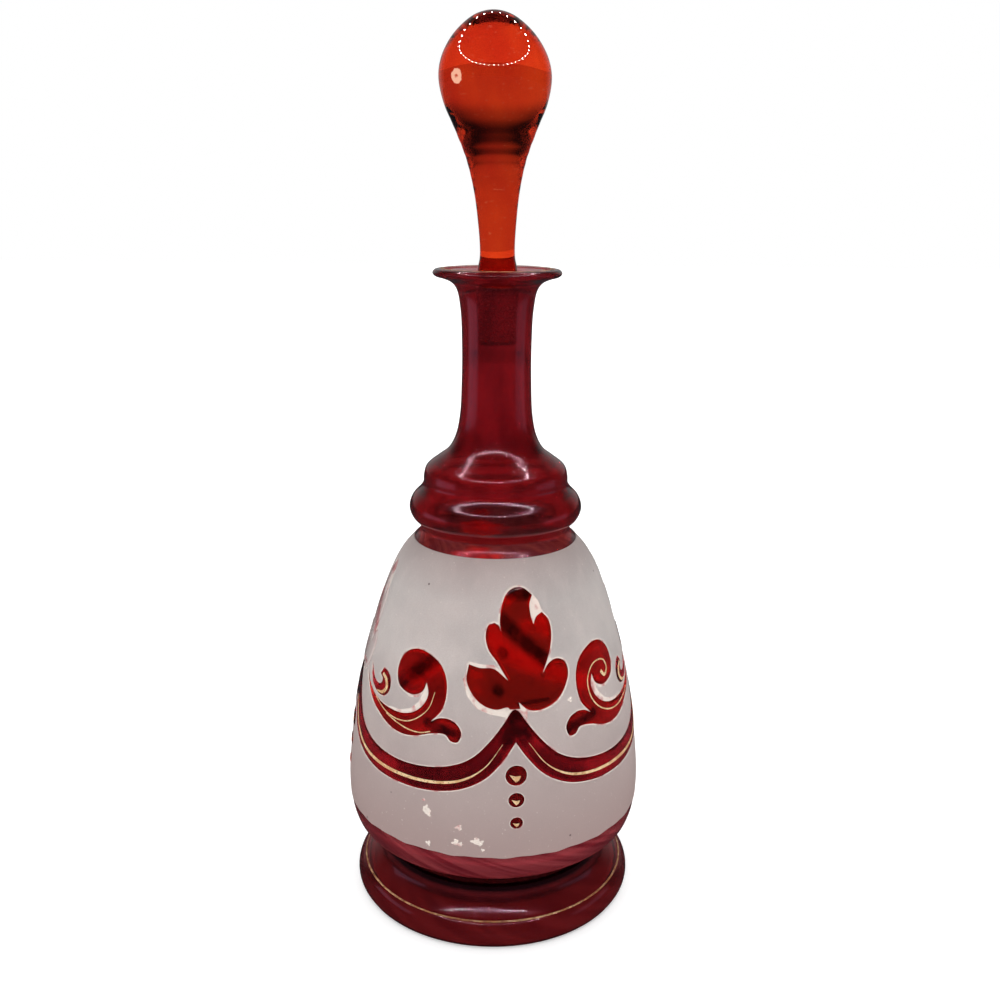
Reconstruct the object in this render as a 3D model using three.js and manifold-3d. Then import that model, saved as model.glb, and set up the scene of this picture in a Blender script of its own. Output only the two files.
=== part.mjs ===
// Ruby stained glass decanter with a satin frosted frieze, an applied disc foot and a ground-in stopper.
// Millimetres, +Z up, origin at the centre of the resting ring, front towards -Y.

import * as THREE from "three";
import { mergeVertices } from "three/addons/utils/BufferGeometryUtils.js";
import Module from "manifold-3d";

const wasm = await Module();
wasm.setup();

// Driving dimensions
const TOTAL_HEIGHT = 300;
const FOOT_RADIUS = 49.9;
const FOOT_RECESS_RADIUS = 43.6;
const FOOT_RING_RADIUS = 47.1;
const FOOT_RING_HEIGHT = 9.15;
const WAIST_RADIUS = 39.8;
const WAIST_HEIGHT = 17.6;
const BODY_RADIUS = 52.1;
const BODY_WIDEST = 43;
const UPPER_COLLAR_RADIUS = 24.6;
const LOWER_COLLAR_RADIUS = 29.6;
const NECK_RADIUS = 11.6;
const LIP_RADIUS = 21.3;
const LIP_HEIGHT = 221.6;
const MOUTH_RADIUS = 7.2;
const BORE_RADIUS = 6.6;
const SEAT_BOTTOM = 196;
const SEAT_TOP = LIP_HEIGHT - 3;
const STEM_RADIUS = 5.7;
const HEAD_RADIUS = 17.8;
const HEAD_WIDEST = 280;

// Layers on the glass
const FROST_BOTTOM = 36.5;
const FROST_TOP = 130.8;
const BED = 0.1;
const FROST_DEPTH = 0.3;
const ENAMEL_DEPTH = 0.8;
const GILT_DEPTH = 0.25;
const WINDOW_GAP = 0.3;
const PIECE_GAP = 0.3;
const GROUND_CLEARANCE = 0.08;

// Frieze: four leaves a quarter turn apart, a swag and a scroll between each two
const REPEATS = 4;
const QUARTER = 360 / REPEATS;
const FRONT_LEAF_TURN = 8.5;
const SIDE_LEAF_NARROWING = 0.54;
const SWAG_LINE_WIDTH = 1.1;
const SCROLL_LINE_WIDTH = 0.7;

const SIDES = 32;
const BEAD_SIDES = 12;
const FACET = 360 / SIDES;
const CURVE_TOLERANCE = 0.2;
const CELL_DEPTH = 3;

const RUBY_GLASS = { color: 0x7a0c14, roughness: 0.06, metalness: 0 };
const AMBER_RUBY_GLASS = { color: 0xc22a10, roughness: 0.05, metalness: 0 };
const SATIN_FROST = { color: 0xbfb4b3, roughness: 0.6, metalness: 0 };
const STAINED_WINDOW = { color: 0x9c1010, roughness: 0.08, metalness: 0 };
const RUBY_ENAMEL = { color: 0x5c0a12, roughness: 0.2, metalness: 0 };
const GILDING = { color: 0xd9a866, roughness: 0.35, metalness: 1 };

const { degToRad, euclideanModulo, lerp } = THREE.MathUtils;
const rounded = (value) => Math.round(value * 1e4) / 1e4;

// Outlines are lists of [across, up] points

/** Keeps only the points that stand further than the tolerance from the line past them. */
function thin(points, tolerance) {
  const [startX, startY] = points[0];
  const [endX, endY] = points.at(-1);
  const length = Math.hypot(endX - startX, endY - startY) || 1;
  const distances = points.map(
    ([x, y]) => Math.abs((x - startX) * (endY - startY) - (y - startY) * (endX - startX)) / length,
  );
  const reach = Math.max(...distances);
  if (reach < tolerance) return [points[0], points.at(-1)];
  const farthest = distances.indexOf(reach);
  const before = thin(points.slice(0, farthest + 1), tolerance);
  return [...before, ...thin(points.slice(farthest), tolerance).slice(1)];
}

/** A smooth curve through the points, dense only where it bends. */
function curve(points, tolerance = CURVE_TOLERANCE) {
  const knots = points.map(([x, y]) => new THREE.Vector3(x, y, 0));
  const spline = new THREE.CatmullRomCurve3(knots, false, "centripetal");
  const fine = spline.getPoints(points.length * 8).map((point) => [point.x, point.y]);
  return thin(fine, tolerance);
}

/** A closed outline of curves joined end to end, sharp where two of them meet. */
function outline(...strokes) {
  return strokes.flatMap((stroke) => curve(stroke).slice(0, -1));
}

/** Moves every point sideways, to the right of the direction of travel. */
function shifted(points, distance, closed = false) {
  const count = points.length;
  return points.map(([x, y], index) => {
    const before = points[closed ? (index + count - 1) % count : Math.max(index - 1, 0)];
    const after = points[closed ? (index + 1) % count : Math.min(index + 1, count - 1)];
    const arriving = new THREE.Vector2(x - before[0], y - before[1]).normalize();
    const leaving = new THREE.Vector2(after[0] - x, after[1] - y).normalize();
    const along = arriving.clone().add(leaving).normalize();
    const step = distance / Math.max(along.dot(arriving.lengthSq() ? arriving : leaving), 0.6);
    return [x + along.y * step, y - along.x * step];
  });
}

/** The stretch of a rising outline between two heights. */
function stretch(points, low, high) {
  const at = (height) => {
    const above = points.findIndex(([, z]) => z > height);
    const [r0, z0] = points[above - 1];
    const [r1, z1] = points[above];
    return [lerp(r0, r1, (height - z0) / (z1 - z0)), height];
  };
  return [at(low), ...points.filter(([, z]) => z > low && z < high), at(high)];
}

/** Positive when a closed outline runs anticlockwise. */
function sense(points) {
  return Math.sign(THREE.ShapeUtils.area(points.map(([x, y]) => new THREE.Vector2(x, y))));
}

// Solids

/** Only what a solid needs of a geometry: shared corners, and no empty triangles. */
function bare(geometry) {
  geometry.deleteAttribute("normal");
  geometry.deleteAttribute("uv");
  const merged = mergeVertices(geometry, 1e-3);
  const index = merged.index.array;
  const kept = [];
  for (let first = 0; first < index.length; first += 3) {
    const [a, b, c] = index.slice(first, first + 3);
    if (a !== b && b !== c && c !== a) kept.push(a, b, c);
  }
  merged.setIndex(kept);
  return merged;
}

/** A ring or cup turned about Z from a profile of [radius, height] points. */
function turned(points, sides = SIDES) {
  const profile = points.map(([radius, height]) => new THREE.Vector2(radius, height));
  return bare(new THREE.LatheGeometry(profile, sides).rotateX(Math.PI / 2));
}

/** A flat plate one unit thick with an outline in degrees and millimetres. */
function plate(points) {
  const shape = new THREE.Shape(points.map(([turn, height]) => new THREE.Vector2(turn, height)));
  return asSolid(bare(new THREE.ExtrudeGeometry(shape, { depth: 1, bevelEnabled: false })));
}

function asSolid(geometry) {
  return new wasm.Manifold(
    new wasm.Mesh({
      numProp: 3,
      vertProperties: new Float32Array(geometry.attributes.position.array),
      triVerts: new Uint32Array(geometry.index.array),
    }),
  );
}

/** The triangles of a solid, as lists of three corners. */
function trianglesOf(solid) {
  const { vertProperties, triVerts } = solid.getMesh();
  const inThrees = (values) =>
    Array.from({ length: values.length / 3 }, (_, at) => values.slice(3 * at, 3 * at + 3));
  const corners = inThrees(Array.from(vertProperties));
  return inThrees(Array.from(triVerts, (vertex) => corners[vertex]));
}

// Glass

// The rolled rim of the foot and its shallow slope in to the waist
const footTop = curve([
  [FOOT_RADIUS - 1.3, 0.5],
  [FOOT_RADIUS - 0.2, 2.4],
  [FOOT_RADIUS, 4.6],
  [FOOT_RADIUS - 0.7, 7],
  [FOOT_RADIUS - 2.1, 8.7],
  [FOOT_RING_RADIUS - 1.2, FOOT_RING_HEIGHT + 0.5],
  [43.2, 11.6],
  [41, 14],
  [WAIST_RADIUS + 0.2, WAIST_HEIGHT],
]);

// The underside is dished, so the foot rests on a flat ring
const footRecess = curve([
  [22, 7.6],
  [36, 5.6],
  [FOOT_RECESS_RADIUS - 1.4, 2.2],
  [FOOT_RECESS_RADIUS, 0],
]);

const foot = turned([[0, 8], ...footRecess, [FOOT_RADIUS - 2.3, 0], ...footTop, [0, WAIST_HEIGHT]]);

// The outside of the blown bottle, from its base to the flat of the lip
const bottleOutside = curve([
  [WAIST_RADIUS - 1, WAIST_HEIGHT + PIECE_GAP],
  [WAIST_RADIUS, WAIST_HEIGHT + 1.2],
  [41.2, 21.4],
  [44.2, 23.8],
  [47.2, 25.6],
  [49.6, 27.8],
  [50.9, 30.8],
  [51.7, 34.5],
  [BODY_RADIUS, BODY_WIDEST],
  [51.3, 54],
  [49.3, 70],
  [46.2, 86],
  [41.8, 102],
  [36.3, 118],
  [32.1, 126],
  [28.3, 130.4],
  [26.1, 133.1],
  [25.5, 134.7],
  [26.5, 136.3],
  [28.6, 138.6],
  [LOWER_COLLAR_RADIUS, 141.6],
  [28.6, 145],
  [25.9, 148],
  [24.8, 149.9],
  [UPPER_COLLAR_RADIUS, 152.5],
  [23.7, 155.5],
  [20.1, 158.5],
  [16.3, 161.5],
  [13.8, 166],
  [12.3, 173],
  [NECK_RADIUS + 0.1, 184],
  [NECK_RADIUS, 197],
  [12.1, 208.5],
  [13.4, 215],
  [15.2, 217.2],
  [18.2, 218.5],
  [20.5, 219.2],
  [LIP_RADIUS, 220.3],
  [LIP_RADIUS - 0.8, LIP_HEIGHT - 0.2],
  [LIP_RADIUS - 2.4, LIP_HEIGHT],
]);

// The inside: the dished mouth and its ground seat, then the blown hollow down to the floor
const mouth = curve([
  [13, LIP_HEIGHT - 0.7],
  [9.2, LIP_HEIGHT - 1.2],
  [MOUTH_RADIUS + 0.2, LIP_HEIGHT - 2.2],
]);
const hollow = curve(
  [
    [7.6, 192],
    [7.9, 178],
    [9.4, 168],
    [12.4, 162.4],
    [18.6, 156.6],
    [21, 151.5],
    [22.6, 147],
    [25, 142],
    [23, 137.4],
    [22.4, 134],
    [25.4, 129.6],
    [32.8, 118],
    [38.4, 102],
    [43, 86],
    [46, 70],
    [47.9, 54],
    [48.6, 42],
    [47.6, 34],
    [44, 28.6],
    [36, 26],
  ],
  0.4,
);
const bottle = turned([
  [0, WAIST_HEIGHT + PIECE_GAP],
  ...bottleOutside,
  ...mouth,
  [MOUTH_RADIUS, SEAT_TOP],
  [BORE_RADIUS, SEAT_BOTTOM],
  ...hollow,
  [0, 26.5],
]);

// A pear-shaped head on a slim stem, with a tapered peg ground to fit the mouth
const seatTaper = (MOUTH_RADIUS - BORE_RADIUS) / (SEAT_TOP - SEAT_BOTTOM);
const pegBottom = SEAT_BOTTOM + 2.4;
const pegRadius = BORE_RADIUS + seatTaper * (pegBottom - SEAT_BOTTOM) - GROUND_CLEARANCE;
const stem = curve([
  [MOUTH_RADIUS - 0.5, SEAT_TOP + 1.2],
  [STEM_RADIUS + 0.6, 222.4],
  [STEM_RADIUS + 0.1, 225],
  [STEM_RADIUS, 228.5],
  [6.2, 236],
  [7.4, 246],
  [9.6, 255.5],
  [13.2, 265],
  [16.4, 272.6],
  [HEAD_RADIUS, HEAD_WIDEST],
  [17, 285.4],
  [14.6, 290.4],
  [11.2, 294.6],
  [6.6, 298.2],
  [3, 299.6],
  [0, TOTAL_HEIGHT],
]);
const stopper = turned([
  [0, pegBottom - 1],
  [pegRadius - 1, pegBottom - 1],
  [pegRadius, pegBottom],
  [MOUTH_RADIUS - GROUND_CLEARANCE, SEAT_TOP],
  ...stem,
]);

// Layers that follow the outside of the body

const glassSkin = stretch(bottleOutside, FROST_BOTTOM, FROST_TOP);

/** The radius of the glass at a height in the frieze. */
function glassRadius(height) {
  return stretch(bottleOutside, height, FROST_TOP)[0][0];
}

const MM_PER_DEGREE = degToRad(glassRadius(80));

/** An outline in degrees and millimetres, widened all round by a distance in millimetres. */
function widened(points, distance) {
  const flat = points.map(([turn, height]) => [turn * MM_PER_DEGREE, height]);
  return shifted(flat, sense(flat) * distance, true).map(([x, height]) => [x / MM_PER_DEGREE, height]);
}

/** A ribbon of even width in millimetres along a centre line in degrees and millimetres. */
function ribbon(points, width) {
  const middle = curve(points.map(([turn, height]) => [turn * MM_PER_DEGREE, height]));
  const edge = [...shifted(middle, width / 2), ...shifted(middle, -width / 2).reverse()];
  return edge.map(([x, height]) => [x / MM_PER_DEGREE, height]);
}

/** An outline carried round the body, facing either way and narrowed if need be. */
function carried(points, turn, facing = 1, narrowing = 1) {
  return points.map(([across, height]) => [turn + facing * narrowing * across, height]);
}

/** Cuts a flat plate to one facet and band of the glass, without the faces that would close its sides. */
function cellTriangles(flat, facet, band) {
  const [low, high] = [glassSkin[band - 1][1], glassSkin[band][1]];
  const cell = new THREE.BoxGeometry(FACET, high - low, CELL_DEPTH);
  cell.translate((facet + 0.5) * FACET, (low + high) / 2, 0.5);
  const openSides = [[0, 0], [0, 1]];
  if (band > 1) openSides.push([1, 0]);
  if (band < glassSkin.length - 1) openSides.push([1, 1]);
  const toShares = ([turn, height, depth]) => [
    rounded(turn / FACET - facet),
    rounded((height - low) / (high - low)),
    depth,
  ];
  return trianglesOf(flat.intersect(asSolid(bare(cell))))
    .map((triangle) => triangle.map(toShares))
    .filter((shares) => !openSides.some(([axis, side]) => shares.every((share) => share[axis] === side)));
}

/** The place on the body of a point given by its shares of a cell's width, height and depth. */
function onBody(facet, band, skins, [across, rise, depth]) {
  const at = (skin, item) => lerp(skin[band - 1][item], skin[band][item], rise);
  const [radius, height] = [0, 1].map((item) => lerp(at(skins[0], item), at(skins[1], item), depth));
  const [left, right] = [facet, facet + 1].map((edge) => degToRad(euclideanModulo(edge, SIDES) * FACET));
  const x = radius * lerp(Math.sin(left), Math.sin(right), across);
  const y = -radius * lerp(Math.cos(left), Math.cos(right), across);
  return [x, y, height];
}

/** Bends a flat plate round the body, one facet of the glass at a time, between two distances from it. */
function wrapped(flat, from, to) {
  const { min, max } = flat.boundingBox();
  const skins = [shifted(glassSkin, from), shifted(glassSkin, to)];
  const corners = [];
  for (let facet = Math.floor(min[0] / FACET); facet * FACET < max[0]; facet += 1) {
    for (let band = 1; band < glassSkin.length; band += 1) {
      for (const triangle of cellTriangles(flat, facet, band)) {
        corners.push(...triangle.flatMap((shares) => onBody(facet, band, skins, shares)));
      }
    }
  }
  const geometry = new THREE.BufferGeometry();
  geometry.setAttribute("position", new THREE.Float32BufferAttribute(corners, 3));
  return bare(geometry);
}

// Ornament outlines: degrees from the middle of their bay, and height

const leafOutline = outline(
  [[-5.4, 110.2], [-5.9, 113], [-5.2, 117], [-2.6, 121.2], [2, 123], [7, 122.8], [11.4, 120.6]],
  [[11.4, 120.6], [9.4, 118], [9.4, 114.6], [10.4, 111.8]],
  [[10.4, 111.8], [12, 113.9], [15.4, 115.2]],
  [[15.4, 115.2], [18.4, 112.6], [19, 109], [17.4, 104], [12.4, 96.4]],
  [[12.4, 96.4], [15.8, 99.4], [20, 100.4], [24, 98.8], [24.8, 95.6], [22.6, 91.6], [18, 87.6], [11, 85.5],
    [5.4, 85.9], [1.6, 88.4]],
  [[1.6, 88.4], [1.8, 87.4]],
  [[1.8, 87.4], [-1.8, 87.4]],
  [[-1.8, 87.4], [-7.4, 86.4], [-12.6, 87.6], [-17.2, 90.8], [-20, 95.2], [-19.4, 100]],
  [[-19.4, 100], [-14.6, 99.1], [-8.6, 98.9], [-2.6, 95.3]],
  [[-2.6, 95.3], [-7.4, 101.2], [-11.2, 105], [-12.5, 109], [-11.4, 112], [-8.6, 112.9]],
  [[-8.6, 112.9], [-6.4, 112], [-5.4, 110.2]],
);

// A swag hangs the same on both sides of its middle, and a strip of ground parts it from the next
const swagEnd = QUARTER / 2 - 1.1;
const mirrored = (points) => points.map(([turn, height]) => [-turn, height]).reverse();
const swagUpper = [[swagEnd, 85.3], [41, 82.6], [35.5, 76.6], [28, 70.4], [18, 66.8], [0, 65]];
const swagLower = [[0, 57.5], [13, 58], [25, 60.2], [34, 64.4], [40.5, 70.4], [swagEnd, 75.9]];
const swagOutline = outline(
  [...swagUpper, ...mirrored(swagUpper).slice(1)],
  [[-swagEnd, 85.3], [-swagEnd, 75.9]],
  [...mirrored(swagLower), ...swagLower.slice(1)],
  [[swagEnd, 75.9], [swagEnd, 85.3]],
);
const swagLine = [[-40, 75.4], [-33, 67.6], [-23, 62.6], [0, 60.6], [23, 62.6], [33, 67.6], [40, 75.4]];

const scrollOutline = outline(
  [[7.4, 92.4], [6, 89.4], [2, 87.6], [-3, 87.8], [-7.2, 89.6], [-9, 93.2], [-8.4, 97.2], [-5, 100.4],
    [1, 102], [8, 101], [13.4, 98.4], [16.2, 94.6], [16.9, 90], [15.6, 85], [11, 80.4]],
  [[11, 80.4], [14.4, 82], [18.4, 82.3], [22, 81], [24, 78.2], [22.8, 75.4], [20, 75.4], [17.6, 77.2],
    [12, 76.8], [5, 74.8], [-1, 74], [-8, 74.6], [-16, 77], [-24, 80.2], [-33, 86.8]],
  [[-33, 86.8], [-26, 83.2], [-18, 81], [-10, 80.3], [-3, 80.5], [3, 82.2], [7.2, 85.4], [8.8, 89],
    [7.4, 92.4]],
);
const scrollLine = [
  [1.6, 92], [-0.6, 90.2], [-3.2, 92], [-2.2, 94.6], [2, 95.8], [7, 94.9], [10.8, 91], [10.4, 86], [7, 81.8],
  [1, 78.9], [-6, 78], [-13, 78.8], [-20, 80.4],
];
const hookOutline = outline(
  [[-20.4, 89.4], [-18.6, 91.4], [-15, 91.2], [-12.2, 88.8], [-11.9, 86], [-13.8, 83.8], [-18, 82.8],
    [-23.4, 84], [-27.4, 86.6], [-29.6, 90.4]],
  [[-29.6, 90.4], [-26, 87.6], [-22, 86], [-18.8, 86.4], [-18, 88], [-20.4, 89.4]],
);

// Drops under each leaf
const BEADS = [
  { place: "upper", height: 65, radius: 3.3 },
  { place: "middle", height: 56.8, radius: 2.4 },
  { place: "lower", height: 49, radius: 1.9 },
];

/** A low dome of enamel with a flat back. */
function dome(radius) {
  const crown = radius * 0.42;
  const shoulder = [radius * 0.94, crown * 0.45];
  const brow = [radius * 0.6, crown * 0.88];
  return turned([[0, 0], [radius, 0], shoulder, brow, [0, crown]], BEAD_SIDES);
}

/** A flat gilt band on a ring of glass, tilted to lie along its slope. */
function giltRing(radius, height, width, tilt) {
  const section = [[-0.5, 0], [0.5, 0], [0.3, 1], [-0.3, 1], [-0.5, 0]];
  return turned(
    section.map(([across, up]) => {
      const point = new THREE.Vector2(across * width, BED + up * GILT_DEPTH);
      point.rotateAround(new THREE.Vector2(), tilt);
      return [radius + point.x, height + point.y];
    }),
  );
}

// Assembly

const decanter = new THREE.Group();
decanter.rotation.z = degToRad(FRONT_LEAF_TURN);

function addPiece(name, geometry, finish) {
  const mesh = new THREE.Mesh(geometry, new THREE.MeshStandardMaterial(finish));
  mesh.name = name;
  decanter.add(mesh);
  return mesh;
}

addPiece("foot", foot, RUBY_GLASS);
addPiece("bottle", bottle, RUBY_GLASS);
addPiece("stopper", stopper, AMBER_RUBY_GLASS);
addPiece("gilt_lip_ring", giltRing(LIP_RADIUS - 3.2, LIP_HEIGHT, 1.4, 0), GILDING);
addPiece("gilt_foot_ring", giltRing(FOOT_RING_RADIUS, FOOT_RING_HEIGHT, 0.9, -0.5), GILDING);

const frostFace = BED + FROST_DEPTH;
const enamelBack = frostFace + BED;
const enamelFace = enamelBack + ENAMEL_DEPTH;
const giltBack = enamelFace + BED;

function addRelief(name, points, back, face, finish) {
  addPiece(name, wrapped(plate(points), back, face), finish);
}

// The frosted ground goes right round the body, and the leaves are let into it
const sheetStart = -QUARTER / 2;
const sheetEnd = sheetStart + 360;
let ground = plate([
  [sheetStart, FROST_BOTTOM],
  [sheetEnd, FROST_BOTTOM],
  [sheetEnd, FROST_TOP],
  [sheetStart, FROST_TOP],
]);

for (let bay = 0; bay < REPEATS; bay += 1) {
  const number = bay + 1;
  const leafTurn = bay * QUARTER;
  const panelTurn = leafTurn - QUARTER / 2;
  const facing = bay % 2 ? -1 : 1;
  const narrowing = bay % 2 ? SIDE_LEAF_NARROWING : 1;

  const leaf = carried(leafOutline, leafTurn, 1, narrowing);
  addRelief(`leaf_${number}`, leaf, BED, frostFace, STAINED_WINDOW);
  ground = ground.subtract(plate(widened(leaf, WINDOW_GAP)));

  const swag = carried(swagOutline, panelTurn);
  const scroll = carried(scrollOutline, panelTurn, facing);
  const hook = carried(hookOutline, panelTurn, facing);
  addRelief(`swag_${number}`, swag, enamelBack, enamelFace, RUBY_ENAMEL);
  addRelief(`scroll_${number}`, scroll, enamelBack, enamelFace, RUBY_ENAMEL);
  addRelief(`hook_${number}`, hook, enamelBack, enamelFace, RUBY_ENAMEL);

  const swagGilt = carried(ribbon(swagLine, SWAG_LINE_WIDTH), panelTurn);
  addRelief(`gilt_swag_line_${number}`, swagGilt, giltBack, giltBack + GILT_DEPTH, GILDING);
  const scrollGilt = carried(ribbon(scrollLine, SCROLL_LINE_WIDTH), panelTurn, facing);
  addRelief(`gilt_scroll_line_${number}`, scrollGilt, giltBack, giltBack + GILT_DEPTH, GILDING);

  for (const { place, height, radius } of BEADS) {
    const bead = addPiece(`bead_${number}_${place}`, dome(radius), RUBY_ENAMEL);
    const narrows = (glassRadius(height - radius) - glassRadius(height + radius)) / (2 * radius);
    const stand = glassRadius(height) + frostFace + PIECE_GAP;
    const turn = degToRad(leafTurn);
    bead.position.set(stand * Math.sin(turn), -stand * Math.cos(turn), height);
    bead.rotation.set(Math.PI / 2 - Math.atan(narrows), 0, turn, "ZYX");
  }
}

addPiece("frosted_ground", wrapped(ground, BED, frostFace), SATIN_FROST);

export default decanter;
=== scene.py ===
"""Looks of the ruby stained decanter: blown glass, etched frieze, stained windows, burnished gilding."""

import math

import bpy
import numpy as np
from mathutils import Matrix, Vector, geometry


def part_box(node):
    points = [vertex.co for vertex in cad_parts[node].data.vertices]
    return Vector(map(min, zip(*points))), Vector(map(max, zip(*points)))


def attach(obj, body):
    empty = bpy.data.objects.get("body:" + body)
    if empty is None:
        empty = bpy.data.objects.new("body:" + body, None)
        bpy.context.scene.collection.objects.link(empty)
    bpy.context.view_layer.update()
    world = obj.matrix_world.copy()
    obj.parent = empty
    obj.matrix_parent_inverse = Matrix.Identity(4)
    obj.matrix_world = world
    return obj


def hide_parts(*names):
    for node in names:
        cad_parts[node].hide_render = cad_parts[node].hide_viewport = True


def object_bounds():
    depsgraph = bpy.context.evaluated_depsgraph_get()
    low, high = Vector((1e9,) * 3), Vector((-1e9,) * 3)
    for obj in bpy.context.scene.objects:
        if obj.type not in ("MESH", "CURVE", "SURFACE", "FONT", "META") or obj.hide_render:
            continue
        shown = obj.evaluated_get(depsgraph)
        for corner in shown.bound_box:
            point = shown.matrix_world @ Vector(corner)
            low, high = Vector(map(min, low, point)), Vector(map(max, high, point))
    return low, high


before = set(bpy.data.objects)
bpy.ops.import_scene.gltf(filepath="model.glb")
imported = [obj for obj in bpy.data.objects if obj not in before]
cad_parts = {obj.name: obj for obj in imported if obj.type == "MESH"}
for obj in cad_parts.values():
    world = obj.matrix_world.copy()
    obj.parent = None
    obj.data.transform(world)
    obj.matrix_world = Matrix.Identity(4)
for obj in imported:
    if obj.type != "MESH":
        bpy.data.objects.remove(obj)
cad_low, cad_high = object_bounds()

MM = 0.001
TURNED_SIDES = 180

# Two faces that meet at more than this many degrees keep a sharp edge
SHARP_ANGLE = 38

# Heights and radii in millimetres, as the frame has them
TOTAL_HEIGHT = cad_high.z / MM
FOOT_RADIUS = 49.9
FOOT_RECESS_RADIUS = 43.6
FOOT_RING_RADIUS = 47.1
FOOT_RING_HEIGHT = 9.15
WAIST_RADIUS = 39.8
WAIST_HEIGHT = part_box("foot")[1].z / MM
LIP_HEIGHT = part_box("bottle")[1].z / MM
LIP_RADIUS = 21.3
MOUTH_RADIUS = 7.2
BORE_RADIUS = 6.6
SEAT_BOTTOM = 196
SEAT_TOP = LIP_HEIGHT - 3
GROUND_CLEARANCE = 0.08
FROST_BOTTOM = 36.5
FROST_TOP = 130.8
CREASE_TOP = 25.6
RUFF_TOP = 134.8
NECK_BOTTOM = 163

# The stain runs on this far under the lower and upper edges of the etched skin
BAND_LAP = 0.6
RUFF_LAP = 0.4

# The peg stops short of the bottom of its seat, and its end is chamfered
PEG_SHORTFALL = 2.4
PEG_CHAMFER = 1
GROUND_MARGIN = 0.5

# The head leans the more, the higher it stands
HEAD_HEIGHT = 280
HEAD_LEAN = 1.2
LEAN_CURVE = 1.3
CHIP_PLACE = (-12.3, -12.6, 279.4)
CHIP_RADIUS = 2.3
PIT_RADIUS = 1.0

# Tool marks ring the head where it was drawn in to its stem: their depth is a share of the radius, they
# follow each other by so many radians a millimetre, and they waver by so many radians on the way round
TOOLED_HEIGHT = 258
TOOLED_REACH = 8
TOOL_MARK = 0.006
TOOL_MARK_TURN = 1.6
TOOL_MARK_WAVER = 0.7

# The frieze repeats four times, and the front leaf stands a little to the right
REPEATS = 4
QUARTER = 360 / REPEATS
FRONT_LEAF_TURN = 8.5
SIDE_LEAF_NARROWING = 0.54

# Handling has rubbed most of the stain off this leaf
WORN_LEAF = 4

# Layers on the glass, in millimetres
BED = 0.04
FROST_DEPTH = 0.16
STAIN_DEPTH = 0.34
WINDOW_GAP = 0.05
BEVEL_WIDTHS = {"leaf": 0.45, "scroll": 0.34, "hook": 0.3, "swag": 0.28, "bead": 0.2}
GILT_BED = 0.01
GILT_DEPTH = 0.1

# Every layer thins towards its edges: over this width, and there to this share of its depth
WINDOW_ROUNDING = 0.7
GILT_ROUNDING = 0.3
ROUNDED_EDGE_SHARE = 0.15
FROST_SLOPE = 0.5
FROST_EDGE_SHARE = 0.2

# The spacing of the corners that a layer's face is meshed from
WINDOW_CELL = 0.6
SKIN_CELL = 1.4

# The lower edge of the etched skin wanders: each wave's height, its number round the body, and its shift
BORDER_WAVES = [(0.16, 19, 0), (0.12, 37, 1)]
BORDER_CORNERS = 240
SEAM_CORNERS = 80

# How much of the light goes through the etched skin instead of back from it
FROST_CLARITY = 0.42


# Colour and nodes

GLASS_IOR = 1.51
ETCHED_IOR = 1.45

# The sockets of a node that mixes two colours
SHARE, FIRST, SECOND, MIXED = 0, 6, 7, 2


def srgb(hex_colour):
    """An sRGB hex colour as linear red, green, blue and alpha."""
    channels = [int(hex_colour[place:place + 2], 16) / 255 for place in (1, 3, 5)]
    linear = [c / 12.92 if c <= 0.04045 else ((c + 0.055) / 1.055) ** 2.4 for c in channels]
    return (*linear, 1.0)


def set_inputs(tree, node, inputs):
    """Sets a node's inputs: a socket is linked, a hex colour is turned to linear, and a number stays."""
    for name, value in inputs.items():
        if isinstance(value, bpy.types.NodeSocket):
            tree.links.new(value, node.inputs[name])
        else:
            node.inputs[name].default_value = srgb(value) if isinstance(value, str) else value


def add_node(tree, kind, settings=None, inputs=None, output=0):
    """Adds a node with its settings and inputs, and gives back one of its outputs."""
    made = tree.nodes.new(kind)
    for name, value in (settings or {}).items():
        setattr(made, name, value)
    set_inputs(tree, made, inputs or {})
    return made.outputs[output]


def new_material(name):
    """A material with one Principled shader, its node tree and the shader."""
    made = bpy.data.materials.new(name)
    made.use_nodes = True
    return made, made.node_tree, made.node_tree.nodes["Principled BSDF"]


def laid_over(tree, tone, colour, pattern, none_at, most_at, most=1.0):
    """A tone with a colour laid over it: none where the pattern is at none_at, the most of it at most_at."""
    share = add_node(tree, "ShaderNodeMapRange", inputs={
        "Value": pattern, "From Min": none_at, "From Max": most_at, "To Max": most,
    })
    return add_node(tree, "ShaderNodeMix", {"data_type": "RGBA"}, {
        SHARE: share, FIRST: tone, SECOND: colour,
    }, MIXED)


def swirled(tree, place, turn_per_mm, stretch):
    """Places wound about Z as they rise and stretched along it, so that a pattern runs in streaks."""
    height = add_node(tree, "ShaderNodeSeparateXYZ", inputs={"Vector": place}, output="Z")
    angle = add_node(tree, "ShaderNodeMath", {"operation": "MULTIPLY"}, {0: height, 1: turn_per_mm / MM})
    wound = add_node(tree, "ShaderNodeVectorRotate", {"rotation_type": "Z_AXIS"}, {
        "Vector": place, "Angle": angle,
    })
    return add_node(tree, "ShaderNodeMapping", inputs={"Vector": wound, "Scale": (1, 1, 1 / stretch)})


def clear_blown_glass():
    """Soda-lime glass, fire polished: clear, with the faint warm grey of old glass."""
    made, tree, shader = new_material("clear_blown_glass")
    place = add_node(tree, "ShaderNodeTexCoord", output="Object")
    clouds = add_node(tree, "ShaderNodeTexNoise", inputs={"Vector": place, "Scale": 1 / (30 * MM)})
    set_inputs(tree, shader, {
        "Base Color": laid_over(tree, "#f6f1ee", "#fbf9f7", clouds, 0.3, 0.7),
        "Roughness": 0.0,
        "IOR": GLASS_IOR,
        "Transmission Weight": 1.0,
    })
    return made


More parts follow.
